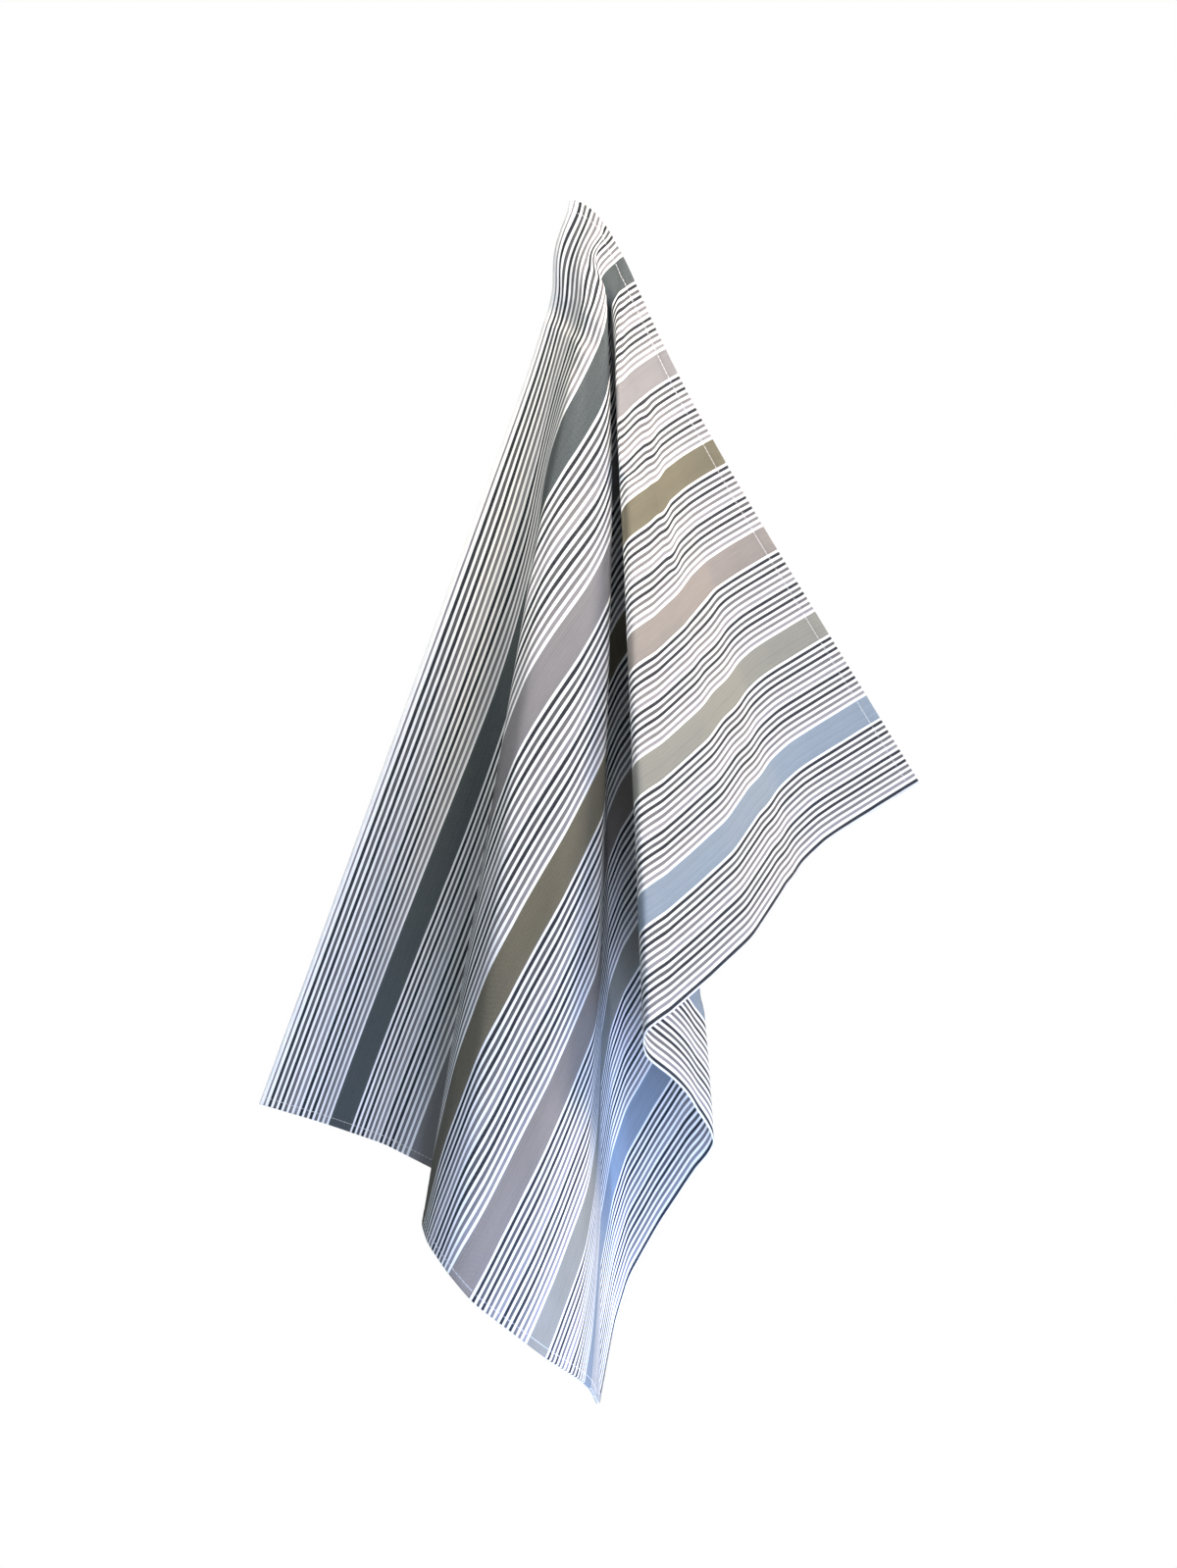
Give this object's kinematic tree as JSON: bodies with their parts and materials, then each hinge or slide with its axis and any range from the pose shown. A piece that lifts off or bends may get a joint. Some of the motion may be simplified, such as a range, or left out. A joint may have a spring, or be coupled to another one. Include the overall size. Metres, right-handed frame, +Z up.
{
  "type": "tea towel",
  "caption": "Striped cotton tea towel with hemmed ends, hanging by one top corner in deep fanned folds.",
  "frame": {"origin": "the towel's top left corner, where it is held", "axes": "+Z up, +X to the right as the towel is seen from its front, +Y away from that view; the front of the cloth faces -Y"},
  "size_m": [0.4884, 0.17, 0.8745],
  "materials": {
    "towel_cotton": "matt plain weave"
  },
  "bodies": {
    "root": {"towel": "towel_cotton"}
  },
  "joints": []
}
